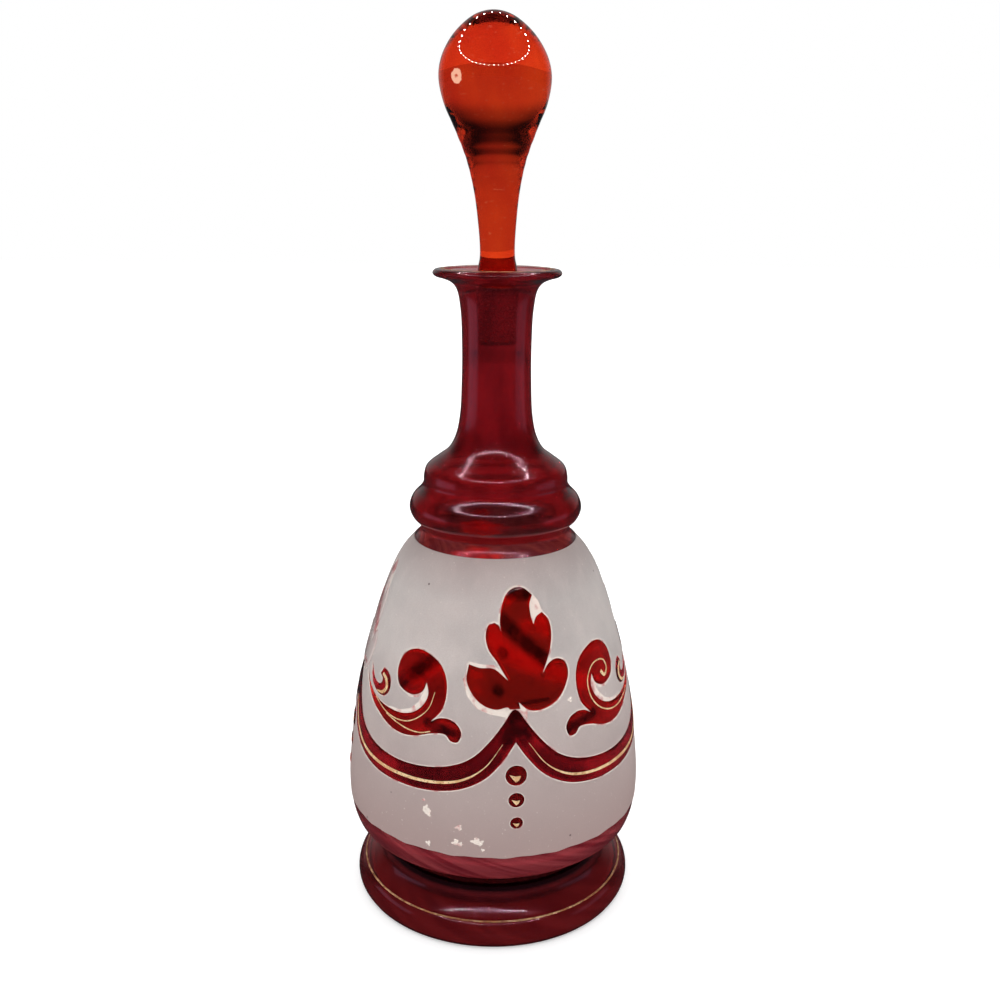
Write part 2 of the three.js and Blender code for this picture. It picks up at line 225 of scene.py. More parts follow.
def ruby_stained_glass(name, deep, pale, turn_per_mm=0.05, streak_mm=5.0, clarity=0.85, coat=0.5, gloss=0.02,
                       painted_shade_heights=None):
    """A copper ruby stain, brushed on the blown glass and fired: crimson, thinner along the brush streaks.

    What is seen through it is soft, because the fired stain is uneven. Its face is fire polished, and the
    stain gives what it mirrors a pink to mauve lustre. Between two heights it can be painted nearly black, as
    shade.
    """
    made, tree, shader = new_material(name)
    place = add_node(tree, "ShaderNodeTexCoord", output="Object")
    streaks = add_node(tree, "ShaderNodeTexNoise", inputs={
        "Vector": swirled(tree, place, turn_per_mm, 5.0), "Scale": 1 / (streak_mm * MM),
        "Roughness": 0.4, "Distortion": 0.3,
    })
    flecks = add_node(tree, "ShaderNodeTexNoise", inputs={"Vector": place, "Scale": 1 / (0.9 * MM)})
    colour = laid_over(tree, deep, pale, streaks, 0.36, 0.66)
    colour = laid_over(tree, colour, "#b0342c", flecks, 0.62, 0.7, 0.3)
    set_inputs(tree, shader, {
        "Roughness": 0.2,
        "IOR": GLASS_IOR,
        "Transmission Weight": clarity,
        "Specular Tint": "#f0a8c8",
        "Coat Weight": coat,
        "Coat Roughness": gloss,
    })
    # Painted shade: between the two heights the stain turns nearly black and lets less light through, for the
    # shade in a crease
    if painted_shade_heights:
        height = add_node(tree, "ShaderNodeSeparateXYZ", inputs={"Vector": place}, output="Z")
        edge, depth = painted_shade_heights[0] * MM, painted_shade_heights[1] * MM
        colour = laid_over(tree, colour, "#140203", height, edge, depth)
        seen_through = add_node(tree, "ShaderNodeMapRange", inputs={
            "Value": height, "From Min": edge, "From Max": depth, "To Min": clarity, "To Max": 0.1,
        })
        set_inputs(tree, shader, {"Transmission Weight": seen_through})
    set_inputs(tree, shader, {"Base Color": colour})
    return made


def ruby_stained_window(name, dark, bright, blotch_mm, blotch_depth, clarity=1.0):
    """Stain left standing when the ground was etched: polished, dark where the brush laid it thick."""
    made, tree, shader = new_material(name)
    place = add_node(tree, "ShaderNodeTexCoord", output="Object")
    blotches = add_node(tree, "ShaderNodeTexNoise", inputs={
        "Vector": place, "Scale": 1 / (blotch_mm * MM), "Detail": 3.0, "Roughness": 0.55, "Distortion": 0.6,
    })
    blotch = add_node(tree, "ShaderNodeMapRange", inputs={
        "Value": blotches, "From Min": 0.5, "From Max": 0.66, "To Max": blotch_depth,
    })
    clouds = add_node(tree, "ShaderNodeTexNoise", inputs={"Vector": place, "Scale": 1 / (4.5 * MM)})
    uneven = add_node(tree, "ShaderNodeMapRange", inputs={
        "Value": clouds, "From Min": 0.35, "From Max": 0.65, "To Min": 0.66, "To Max": 0.96,
    })
    thick = add_node(tree, "ShaderNodeAttribute", {"attribute_name": "thick_stain"}, output="Fac")
    stain = add_node(tree, "ShaderNodeMath", {"operation": "MULTIPLY_ADD"}, {0: thick, 1: uneven, 2: blotch})
    set_inputs(tree, shader, {
        "Base Color": laid_over(tree, bright, dark, stain, 0, 1),
        "Roughness": 0.16,
        "IOR": GLASS_IOR,
        "Transmission Weight": clarity,
        "Specular Tint": "#f4b8cc",
        "Coat Weight": 0.6,
        "Coat Roughness": 0.04,
    })
    return made


def amber_ruby_glass():
    """Solid glass under a thin stain: orange red, crimson where it was drawn in, and chipped once."""
    made, tree, shader = new_material("amber_ruby_glass")
    place = add_node(tree, "ShaderNodeTexCoord", output="Object")
    patches = add_node(tree, "ShaderNodeTexNoise", inputs={
        "Vector": swirled(tree, place, 0.01, 3.0), "Scale": 1 / (9 * MM), "Detail": 3.0,
    })
    colour = laid_over(tree, "#a8200e", "#c23612", patches, 0.35, 0.68)

    height = add_node(tree, "ShaderNodeSeparateXYZ", inputs={"Vector": place}, output="Z")
    above = add_node(tree, "ShaderNodeMath", {"operation": "SUBTRACT"}, {0: height, 1: TOOLED_HEIGHT * MM})
    off_belt = add_node(tree, "ShaderNodeMath", {"operation": "ABSOLUTE"}, {0: above})
    edge, middle = 1.6 * TOOLED_REACH * MM, 0.4 * TOOLED_REACH * MM
    colour = laid_over(tree, colour, "#70080c", off_belt, edge, middle, 0.35)
    dulled = add_node(tree, "ShaderNodeMapRange", inputs={
        "Value": off_belt, "From Min": edge, "From Max": middle, "To Max": 0.105,
    })

    grazes = add_node(tree, "ShaderNodeTexNoise", inputs={"Vector": place, "Scale": 1 / (0.8 * MM)})
    colour = laid_over(tree, colour, "#d88a78", grazes, 0.68, 0.74, 0.5)

    off_chip = add_node(tree, "ShaderNodeVectorMath", {"operation": "DISTANCE"}, {
        0: place, 1: Vector(CHIP_PLACE) * MM,
    }, "Value")
    ragged = add_node(tree, "ShaderNodeMath", {"operation": "MULTIPLY_ADD"}, {
        0: add_node(tree, "ShaderNodeTexNoise", inputs={"Vector": place, "Scale": 1 / (1.2 * MM)}),
        1: 0.8 * MM,
        2: off_chip,
    })
    chip, pit = (
        add_node(tree, "ShaderNodeMapRange", inputs={
            "Value": ragged, "From Min": (radius + 0.6) * MM, "From Max": (radius + 0.3) * MM,
        })
        for radius in (CHIP_RADIUS, PIT_RADIUS)
    )
    bare = add_node(tree, "ShaderNodeMath", {"operation": "SUBTRACT", "use_clamp": True}, {0: chip, 1: pit})
    seen_through = add_node(tree, "ShaderNodeMapRange", inputs={"Value": bare, "To Min": 1.0, "To Max": 0.15})
    set_inputs(tree, shader, {
        "Base Color": laid_over(tree, colour, "#e6ae92", bare, 0, 1),
        "Roughness": dulled,
        "IOR": GLASS_IOR,
        "Transmission Weight": seen_through,
    })
    return made


def ground_glass(name, dull, bright, smooth, rough, clarity):
    """The peg and its seat, ground together with fine grit: matt and grey, or nearly clear from wear."""
    made, tree, shader = new_material(name)
    place = add_node(tree, "ShaderNodeTexCoord", output="Object")
    grit = add_node(tree, "ShaderNodeTexNoise", inputs={
        "Vector": place, "Scale": 1 / (0.5 * MM), "Detail": 3.0,
    })
    roughness = add_node(tree, "ShaderNodeMapRange", inputs={
        "Value": grit, "From Min": 0.3, "From Max": 0.7, "To Min": smooth, "To Max": rough,
    })
    set_inputs(tree, shader, {
        "Base Color": laid_over(tree, dull, bright, grit, 0.3, 0.7),
        "Roughness": roughness,
        "IOR": GLASS_IOR,
        "Transmission Weight": clarity,
    })
    return made


def satin_etched_glass():
    """Acid etched glass: a fine matt skin that spreads the light, softly clouded, and darker towards the foot
    as painted shade.

    Under the shoulder a little painted pink stands for the red light that the stain above throws on it. The
    etched grain is hundredths of a millimetre, so it's drawn at 0.35 mm. Small dark pits are scattered over
    it.
    """
    made, tree, shader = new_material("satin_etched_glass")
    place = add_node(tree, "ShaderNodeTexCoord", output="Object")
    height = add_node(tree, "ShaderNodeSeparateXYZ", inputs={"Vector": place}, output="Z")
    clouds = add_node(tree, "ShaderNodeTexNoise", inputs={
        "Vector": place, "Scale": 1 / (22 * MM), "Detail": 3.0,
    })
    smudges = add_node(tree, "ShaderNodeTexNoise", inputs={
        "Vector": swirled(tree, place, 0.0, 2.2), "Scale": 1 / (5 * MM), "Detail": 4.0, "Roughness": 0.6,
    })
    grain = add_node(tree, "ShaderNodeTexNoise", inputs={
        "Vector": place, "Scale": 1 / (0.35 * MM), "Detail": 3.0,
    })
    rubs = add_node(tree, "ShaderNodeTexNoise", inputs={
        "Vector": place, "Scale": 1 / (0.9 * MM), "Detail": 3.0, "Roughness": 0.6,
    })
    pits = add_node(tree, "ShaderNodeTexVoronoi", inputs={"Vector": place, "Scale": 1 / (11 * MM)})
    tone = laid_over(tree, "#e0d8d4", "#cec8c5", clouds, 0.35, 0.65)
    tone = laid_over(tree, tone, "#e8dfdb", smudges, 0.5, 0.72, 0.4)
    # Painted shade: the skin darkens towards the foot
    tone = laid_over(tree, tone, "#bea5a1", height, 100 * MM, 40 * MM)
    # Painted light: pink under the shoulder, for the red light from the stain above
    tone = laid_over(tree, tone, "#a87e7c", height, 118 * MM, 131 * MM, 0.35)
    tone = laid_over(tree, tone, "#b29e99", grain, 0.3, 0.75, 0.3)
    tone = laid_over(tree, tone, "#f0e6e0", rubs, 0.67, 0.72, 0.7)
    tone = laid_over(tree, tone, "#6c5654", pits, 0.045, 0.025)
    set_inputs(tree, shader, {
        "Base Color": tone,
        "Normal": add_node(tree, "ShaderNodeBump", inputs={
            "Strength": 0.25, "Distance": 0.04 * MM, "Height": grain,
        }),
        "Roughness": 0.6,
        "IOR": ETCHED_IOR,
        "Transmission Weight": FROST_CLARITY,
    })
    return made


def bare_glass_painted_glint():
    """The bevel that the etch left round each window: bare glass, with the light that it catches painted in
    as cream to pink.
    """
    made, tree, shader = new_material("bare_glass_painted_glint")
    place = add_node(tree, "ShaderNodeTexCoord", output="Object")
    tints = add_node(tree, "ShaderNodeTexNoise", inputs={"Vector": place, "Scale": 1 / (3.4 * MM)})
    set_inputs(tree, shader, {
        # Painted highlight: the cream to pink colour stands for the light and reflections that the bare glass
        # catches
        "Base Color": laid_over(tree, "#d29a98", "#f2e6dc", tints, 0.34, 0.5),
        "Roughness": 0.12,
        "IOR": ETCHED_IOR,
        "Transmission Weight": 0.3,
    })
    return made


def burnished_gilding(name, dull, bright, wear_from):
    """Fired liquid gold: pale peach, rubbed through to the dark stain in specks."""
    made, tree, shader = new_material(name)
    place = add_node(tree, "ShaderNodeTexCoord", output="Object")
    patches = add_node(tree, "ShaderNodeTexNoise", inputs={"Vector": place, "Scale": 1 / (2.6 * MM)})
    rubbed = add_node(tree, "ShaderNodeTexNoise", inputs={
        "Vector": place, "Scale": 1 / (0.55 * MM), "Detail": 3.0, "Roughness": 0.65,
    })
    worn_through = wear_from + 0.06
    gold = laid_over(tree, dull, bright, patches, 0.42, 0.6)
    metallic = add_node(tree, "ShaderNodeMapRange", inputs={
        "Value": rubbed, "From Min": wear_from, "From Max": worn_through, "To Min": 0.25, "To Max": 0.0,
    })
    set_inputs(tree, shader, {
        "Base Color": laid_over(tree, gold, "#5a2018", rubbed, wear_from, worn_through),
        "Metallic": metallic,
        "Roughness": 0.34,
    })
    return made


# Curves: lists of [across, up] in millimetres or degrees

def flowing(points, steps=8):
    """A smooth curve through the points, which doesn't swing out where they crowd together."""
    knots = [np.array(p, float) for p in points]
    knots = [2 * knots[0] - knots[1], *knots, 2 * knots[-1] - knots[-2]]
    line = []
    for before, start, end, after in zip(knots, knots[1:], knots[2:], knots[3:]):
        pairs = ((before, start), (start, end), (end, after))
        spans = [max(np.linalg.norm(b - a) ** 0.5, 1e-6) for a, b in pairs]
        out = (start - before) / spans[0] - (end - before) / (spans[0] + spans[1]) + (end - start) / spans[1]
        back = (end - start) / spans[1] - (after - start) / (spans[1] + spans[2]) + (after - end) / spans[2]
        out, back = out * spans[1], back * spans[1]
        for step in range(steps):
            t = step / steps
            line.append(
                (2 * t ** 3 - 3 * t ** 2 + 1) * start + (t ** 3 - 2 * t ** 2 + t) * out
                + (3 * t ** 2 - 2 * t ** 3) * end + (t ** 3 - t ** 2) * back
            )
    line.append(knots[-2])
    return [tuple(p) for p in line]


def outline(*strokes, steps=8):
    """A closed outline of curves joined end to end, sharp where two of them meet."""
    return [point for stroke in strokes for point in flowing(stroke, steps)[:-1]]


# Meshes

def new_piece(name, vertices, faces, materials, body, slot, stands_for):
    """A mesh piece that rides on a body and stands for its CAD nodes."""
    mesh = bpy.data.meshes.new(name)
    mesh.from_pydata([tuple(v) for v in vertices], [], faces)
    mesh.validate()
    mesh.update()
    mesh.shade_smooth()
    mesh.set_sharp_from_angle(angle=math.radians(SHARP_ANGLE))
    for material in materials:
        mesh.materials.append(material)
    made = bpy.data.objects.new(name, mesh)
    bpy.context.scene.collection.objects.link(made)
    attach(made, body)
    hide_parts(*stands_for)
    return made


def face_centres(piece):
    """The middle of each face in millimetres."""
    centres = np.empty(3 * len(piece.data.polygons), np.float32)
    piece.data.polygons.foreach_get("center", centres)
    return centres.reshape(-1, 3) / MM


def turned(profile, sides=TURNED_SIDES):
    """Vertices and faces of a profile turned about Z. It starts and ends on the axis, or closes on itself."""
    vertices, rings = [], []
    for radius, height in profile:
        if radius < 1e-6:
            rings.append([len(vertices)] * sides)
            vertices.append((0, 0, height * MM))
            continue
        rings.append(list(range(len(vertices), len(vertices) + sides)))
        for side in range(sides):
            angle = 2 * math.pi * side / sides
            vertices.append((radius * MM * math.sin(angle), -radius * MM * math.cos(angle), height * MM))
    if profile[0][0] >= 1e-6:
        rings.append(rings[0])
    faces = []
    for lower, upper in zip(rings, rings[1:]):
        for side in range(sides):
            after = (side + 1) % sides
            corners = [lower[side], lower[after], upper[after], upper[side]]
            faces.append(list(dict.fromkeys(corners)))
    return vertices, faces


foot_top = flowing([
    [FOOT_RADIUS - 1.3, 0.5],
    [FOOT_RADIUS - 0.2, 2.4],
    [FOOT_RADIUS, 4.6],
    [FOOT_RADIUS - 0.7, 7],
    [FOOT_RADIUS - 2.1, 8.7],
    [FOOT_RING_RADIUS - 1.2, FOOT_RING_HEIGHT + 0.5],
    [43.2, 11.6],
    [41, 14],
    [WAIST_RADIUS + 0.2, WAIST_HEIGHT],
])
foot_recess = flowing([[22, 7.6], [36, 5.6], [FOOT_RECESS_RADIUS - 1.4, 2.2], [FOOT_RECESS_RADIUS, 0]])

bottle_outside = flowing([
    [WAIST_RADIUS - 1, WAIST_HEIGHT + 0.3],
    [WAIST_RADIUS, WAIST_HEIGHT + 1.2],
    [41.2, 21.4],
    [44.2, 23.8],
    [47.2, 25.6],
    [49.6, 27.8],
    [50.9, 30.8],
    [51.7, 34.5],
    [52.1, 43],
    [51.3, 54],
    [49.3, 70],
    [46.2, 86],
    [41.8, 102],
    [36.3, 118],
    [32.1, 126],
    [28.3, 130.4],
    [26.1, 133.1],
    [25.5, 134.7],
    [26.5, 136.3],
    [28.6, 138.6],
    [29.6, 141.6],
    [28.6, 145],
    [25.9, 148],
    [24.8, 149.9],
    [24.6, 152.5],
    [23.7, 155.5],
    [20.1, 158.5],
    [16.3, 161.5],
    [13.8, 166],
    [12.3, 173],
    [11.7, 184],
    [11.6, 197],
    [12.1, 208.5],
    [13.4, 215],
    [15.2, 217.2],
    [18.2, 218.5],
    [20.5, 219.2],
    [LIP_RADIUS, 220.3],
    [LIP_RADIUS - 0.8, LIP_HEIGHT - 0.2],
    [LIP_RADIUS - 2.4, LIP_HEIGHT],
])
bottle_mouth = flowing([
    [13, LIP_HEIGHT - 0.7],
    [9.2, LIP_HEIGHT - 1.2],
    [MOUTH_RADIUS + 0.2, LIP_HEIGHT - 2.2],
    [MOUTH_RADIUS, SEAT_TOP],
])
bottle_hollow = flowing([
    [BORE_RADIUS, SEAT_BOTTOM],
    [7.6, 192],
    [7.9, 178],
    [9.4, 168],
    [12.4, 162.4],
    [18.6, 156.6],
    [21, 151.5],
    [22.6, 147],
    [25, 142],
    [23, 137.4],
    [22.4, 134],
    [25.4, 129.6],
    [32.8, 118],
    [38.4, 102],
    [43, 86],
    [46, 70],
    [47.9, 54],
    [48.6, 42],
    [47.6, 34],
    [44, 28.6],
    [36, 26],
    [20, 25.8],
    [0, 26.5],
])

seat_taper = (MOUTH_RADIUS - BORE_RADIUS) / (SEAT_TOP - SEAT_BOTTOM)
peg_bottom = SEAT_BOTTOM + PEG_SHORTFALL
peg_radius = BORE_RADIUS + seat_taper * (peg_bottom - SEAT_BOTTOM) - GROUND_CLEARANCE
stopper_stem = flowing([
    [MOUTH_RADIUS - 0.5, SEAT_TOP + 1.2],
    [6.3, 222.4],
    [5.8, 225],
    [5.7, 228.5],
    [6.2, 236],
    [7.4, 246],
    [9.6, 255.5],
    [13.2, 265],
    [16.4, 272.6],
    [17.8, 280],
    [17, 285.4],
    [14.6, 290.4],
    [11.2, 294.6],
    [6.6, 298.2],
    [3, 299.6],
    [0, TOTAL_HEIGHT],
])


# Ornament outlines: degrees from the middle of the bay, and height in millimetres

leaf_outline = outline(
    [[-5.4, 110.2], [-5.9, 113], [-5.2, 117], [-2.6, 121.2], [2, 123], [7, 122.8], [11.4, 120.6]],
    [[11.4, 120.6], [9.4, 118], [9.4, 114.6], [10.4, 111.8]],
    [[10.4, 111.8], [12, 113.9], [15.4, 115.2]],
    [[15.4, 115.2], [18.4, 112.6], [19, 109], [17.4, 104], [12.4, 96.4]],
    [[12.4, 96.4], [15.8, 99.4], [20, 100.4], [24, 98.8], [24.8, 95.6], [22.6, 91.6], [18, 87.6],
     [11, 85.5], [5.4, 85.9], [1.6, 88.4]],
    [[1.6, 88.4], [2.1, 86.4]],
    [[2.1, 86.4], [-2.1, 86.4]],
    [[-2.1, 86.4], [-2.9, 87], [-7.4, 86.4], [-12.6, 87.6], [-17.2, 90.8], [-20, 95.2], [-19.4, 100]],
    [[-19.4, 100], [-14.6, 99.1], [-8.6, 98.9], [-2.6, 95.3]],
    [[-2.6, 95.3], [-7.4, 101.2], [-11.2, 105], [-12.5, 109], [-11.4, 112], [-8.6, 112.9]],
    [[-8.6, 112.9], [-6.4, 112], [-5.4, 110.2]],
)


def mirrored(points):
    """The points on the other side of the middle, in the order that carries an outline on."""
    return [[-turn, height] for turn, height in reversed(points)]


SWAG_END = QUARTER / 2 - 0.006
swag_upper = [[SWAG_END, 86.3], [43.6, 85.7], [41, 82.6], [35.5, 76.6], [28, 70.4], [18, 66.8], [0, 65]]
swag_lower = [[0, 57.5], [13, 58], [25, 60.2], [34, 64.4], [40.5, 70.4], [SWAG_END, 75.9]]
swag_outline = outline(
    [*swag_upper, *mirrored(swag_upper)[1:]],
    [[-SWAG_END, 86.3], [-SWAG_END, 75.9]],
    [*mirrored(swag_lower), *swag_lower[1:]],
    [[SWAG_END, 75.9], [SWAG_END, 86.3]],
)
# The same edges carried on past both ends, which meet the next swags and stay square
SWAG_BEYOND = QUARTER / 2 + 3
swag_run = outline(
    [[SWAG_BEYOND, 88.4], *swag_upper[1:], *mirrored(swag_upper[1:])[1:], [-SWAG_BEYOND, 88.4]],
    [[-SWAG_BEYOND, 88.4], [-SWAG_BEYOND, 80.2]],
    [[-SWAG_BEYOND, 80.2], *mirrored(swag_lower[:-1]), *swag_lower[1:-1], [SWAG_BEYOND, 80.2]],
    [[SWAG_BEYOND, 80.2], [SWAG_BEYOND, 88.4]],
)
swag_line = [[-40, 75.4], [-33, 67.6], [-23, 62.6], [0, 60.6], [23, 62.6], [33, 67.6], [40, 75.4]]

scroll_outline = outline(
    [[7.4, 92.4], [6, 89.4], [2, 87.6], [-3, 87.8], [-7.2, 89.6], [-9, 93.2], [-8.4, 97.2], [-5, 100.4],
     [1, 102], [8, 101], [13.4, 98.4], [16.2, 94.6], [16.9, 90], [15.6, 85], [11, 80.4]],
    [[11, 80.4], [14.4, 82], [18.4, 82.3], [22, 81], [24, 78.2], [22.8, 75.4], [20, 75.4], [17.6, 77.2],
     [12, 76.8], [5, 74.8], [-1, 74], [-8, 74.6], [-16, 77], [-24, 80.2], [-33, 86.8]],
    [[-33, 86.8], [-26, 83.2], [-18, 81], [-10, 80.3], [-3, 80.5], [3, 82.2], [7.2, 85.4], [8.8, 89],
     [7.4, 92.4]],
)
SWAG_LINE_WIDTHS = [0.6, 1.0, 1.15, 1.1, 0.8, 0.3, 0.12]
scroll_line = [
    [1.6, 92], [-0.6, 90.2], [-3.2, 92], [-2.2, 94.6], [2, 95.8], [7, 94.9], [10.8, 91], [10.4, 86],
    [7, 81.8], [1, 78.9], [-6, 78], [-13, 78.8], [-20, 80.4],
]
SCROLL_LINES = [(scroll_line, [1.3, 0.8, 0.5, 0.4, 0.45, 0.45, 0.5, 0.35])]
# One bay has lost the gilding of its scroll's head, and two thin strokes are left in the tail
SCROLL_LINES_WORN = [
    ([[11.9, 90], [10.2, 85.1], [6.6, 81.6], [1.3, 78.9], [-5, 78.1], [-11.9, 78.9], [-20, 81.6]],
     [0.2, 0.3, 0.4, 0.35]),
    ([[-11.3, 78.4], [-4.9, 77.1], [1.6, 76.2], [7.3, 76.3], [11.5, 77.4]],
     [0.4, 0.45, 0.3]),
]
hook_line = [[-17.8, 90], [-14.8, 88.6], [-13.7, 86.4], [-15.6, 84.3], [-20, 83.6]]
HOOK_LINE_WIDTHS = [0.9, 1.3, 1.2, 1.1, 0.4]
hook_outline = outline(
    [[-20.4, 89.4], [-18.6, 91.4], [-15, 91.2], [-12.2, 88.8], [-11.9, 86], [-13.8, 83.8], [-18, 82.8],
     [-23.4, 84], [-27.4, 86.6], [-29.6, 90.4]],
    [[-29.6, 90.4], [-26, 87.6], [-22, 86], [-18.8, 86.4], [-18, 88], [-20.4, 89.4]],
)
BEADS = [("upper", 65, 3.3), ("middle", 56.8, 2.4), ("lower", 49, 1.9)]

# Where the brush laid the stain thick: both ends of a stroke, and half its width in millimetres
LEAF_STROKES = [
    ([-5.2, 113.9], [14.2, 100.7], 3.4), ([-4.9, 104.1], [-4.4, 103.6], 2.6), ([-7.1, 92.5], [-6.4, 92], 2.4),
    ([0, 121.6], [9, 121.4], 3.0), ([1.5, 88.0], [13.9, 88.4], 0.9),
]
SCROLL_STROKES = [([-6, 90], [11, 101.4], 3.4), ([10, 80], [24, 77.6], 2.2)]
SWAG_STROKES = [
    ([QUARTER / 2, 84], [QUARTER / 2 - 3, 77.4], 4.2),
    ([-QUARTER / 2, 84], [3 - QUARTER / 2, 77.4], 4.2),
]

# Chips in the matt skin: place and half width in millimetres
CHIPS = [
    ([-33.5, 51.7], 0.9), ([-32.8, 50.4], 1.2), ([-20.7, 47], 0.9), ([-14.5, 42.6], 1.2),
    ([-12.9, 42.2], 0.9), ([-21.7, 41.5], 1.1), ([-20.2, 41.1], 0.7), ([-32.4, 39.4], 0.8),
    ([-34.5, 54.3], 0.5), ([23.9, 86.8], 0.8), ([-12, 39.6], 0.5), ([64, 60.5], 1.0), ([131, 46.2], 1.3),
    ([133.2, 45.3], 0.8), ([207, 92.5], 0.9),
]

# Patches beside the windows where the etch left bare glass, wider than the bevel
LEAF_BARE_PATCHES = [
    [[-20.2, 97], [-21.6, 95.4], [-19.6, 90.4], [-15.4, 86.6], [-10, 84.9], [-3.2, 83.8], [-2.2, 86],
     [-7.4, 86.6], [-12.6, 87.8], [-17.2, 91], [-19.8, 95]],
    [[0.4, 87.8], [1.6, 86], [4.7, 82.9], [5, 85.9], [2.9, 86.9]],
    [[7.4, 120], [11.4, 120.9], [14.4, 118.6], [15.6, 115.4], [11, 113], [9.8, 112.4], [9, 115], [9, 118]],
    [[-19.4, 100.9], [-14.6, 100.3], [-8.6, 100.1], [-4, 97.6], [-2.4, 95.2], [-9, 98.6], [-19.4, 99.8]],
    [[12.6, 98.6], [14.4, 101.2], [17.6, 101.2], [15.8, 99], [12.6, 96.6]],
    [[-6.2, 110.6], [-6.9, 113.4], [-6.2, 117.2], [-5, 116.8], [-5.7, 113], [-5.3, 110.2]],
]
SCROLL_BARE_PATCHES = [
    [[7.6, 92], [8.6, 88.6], [7, 85.4], [3, 82.2], [-3, 80.4], [-10, 80.2], [-10, 81.1], [-4, 81.4],
     [1.4, 83.1], [5, 86], [6, 89], [6.2, 90]],
    [[-4.4, 88], [0, 86.5], [4.4, 87.1], [6.4, 89.6], [5.6, 89.8], [2, 88], [-3, 88.2]],
]


# The skin of the body: where a point in degrees and millimetres lies, and how far off the glass

# The skin goes on a little above the etched zone, so that the slope is known up to its edge
SKIN_TOP = FROST_TOP + 6
skin_heights = np.array([height for radius, height in bottle_outside if height <= SKIN_TOP])
skin_radii = np.array([radius for radius, height in bottle_outside if height <= SKIN_TOP])

# Flat places are measured round the body at this height
REFERENCE_HEIGHT = 80
REFERENCE_RADIUS = float(np.interp(REFERENCE_HEIGHT, skin_heights, skin_radii))
MM_PER_DEGREE = math.radians(REFERENCE_RADIUS)
SLOPE_REACH = 0.2

# How near to an edge its distance is worked out, in millimetres, and for how many places at a time
EDGE_REACH = 4
PLACES_AT_ONCE = 4000


def on_body(turns, heights, off):
    """Places in metres of points at turns in degrees and heights in millimetres, off the glass by so much."""
    radii = np.interp(heights, skin_heights, skin_radii)
    above = np.interp(heights + SLOPE_REACH, skin_heights, skin_radii)
    below = np.interp(heights - SLOPE_REACH, skin_heights, skin_radii)
    slope = (above - below) / (2 * SLOPE_REACH)
    length = np.hypot(1, slope)
    out = radii + off / length
    up = heights - off * slope / length
    angle = np.radians(turns + FRONT_LEAF_TURN)
    return np.stack([out * np.sin(angle), -out * np.cos(angle), up], 1) * MM


def to_flat(points):
    """Points in degrees and millimetres, laid out flat in millimetres."""
    return np.array([[turn * MM_PER_DEGREE, height] for turn, height in points])


def edge_distance(places, loops):
    """How far each flat place is from the nearest edge of the loops."""
    nearest = np.full(len(places), 1e9)
    for loop in loops:
        start, end = loop, np.roll(loop, -1, 0)
        low, high = loop.min(0) - EDGE_REACH, loop.max(0) + EDGE_REACH
        near = np.flatnonzero(np.all((places > low) & (places < high), 1))
        for first in range(0, len(near), PLACES_AT_ONCE):
            rows = near[first:first + PLACES_AT_ONCE]
            along = end - start
            to = places[rows, None] - start[None]
            share = np.clip((to * along).sum(2) / np.maximum((along ** 2).sum(1), 1e-12), 0, 1)
            gap = np.linalg.norm(to - share[..., None] * along, axis=2).min(1)
            nearest[rows] = np.minimum(nearest[rows], gap)
    return nearest


def inside(places, loop):
    """Which flat places lie inside a loop."""
    within = np.zeros(len(places), bool)
    low, high = loop.min(0), loop.max(0)
    rows = np.flatnonzero(np.all((places >= low) & (places <= high), 1))
    x, y = places[rows, 0][:, None], places[rows, 1][:, None]
    x0, y0 = loop[:, 0], loop[:, 1]
    x1, y1 = np.roll(x0, -1), np.roll(y0, -1)
    crosses = ((y0 > y) != (y1 > y)) & (x < (x1 - x0) * (y - y0) / np.where(y1 == y0, 1e-12, y1 - y0) + x0)
    within[rows] = crosses.sum(1) % 2 == 1
    return within


def widened(loop, distance):
    """A flat loop moved outwards all round."""
    before, after = np.roll(loop, 1, 0), np.roll(loop, -1, 0)
    along = after - before
    along /= np.maximum(np.linalg.norm(along, axis=1), 1e-9)[:, None]
    area = (loop[:, 0] * np.roll(loop[:, 1], -1) - np.roll(loop[:, 0], -1) * loop[:, 1]).sum()
    return loop + math.copysign(distance, area) * np.stack([along[:, 1], -along[:, 0]], 1)


# A grid corner stays this share of a cell away from every edge, and corners this near are one
CLEAR_OF_EDGES = 0.45
SAME_PLACE = 1e-5


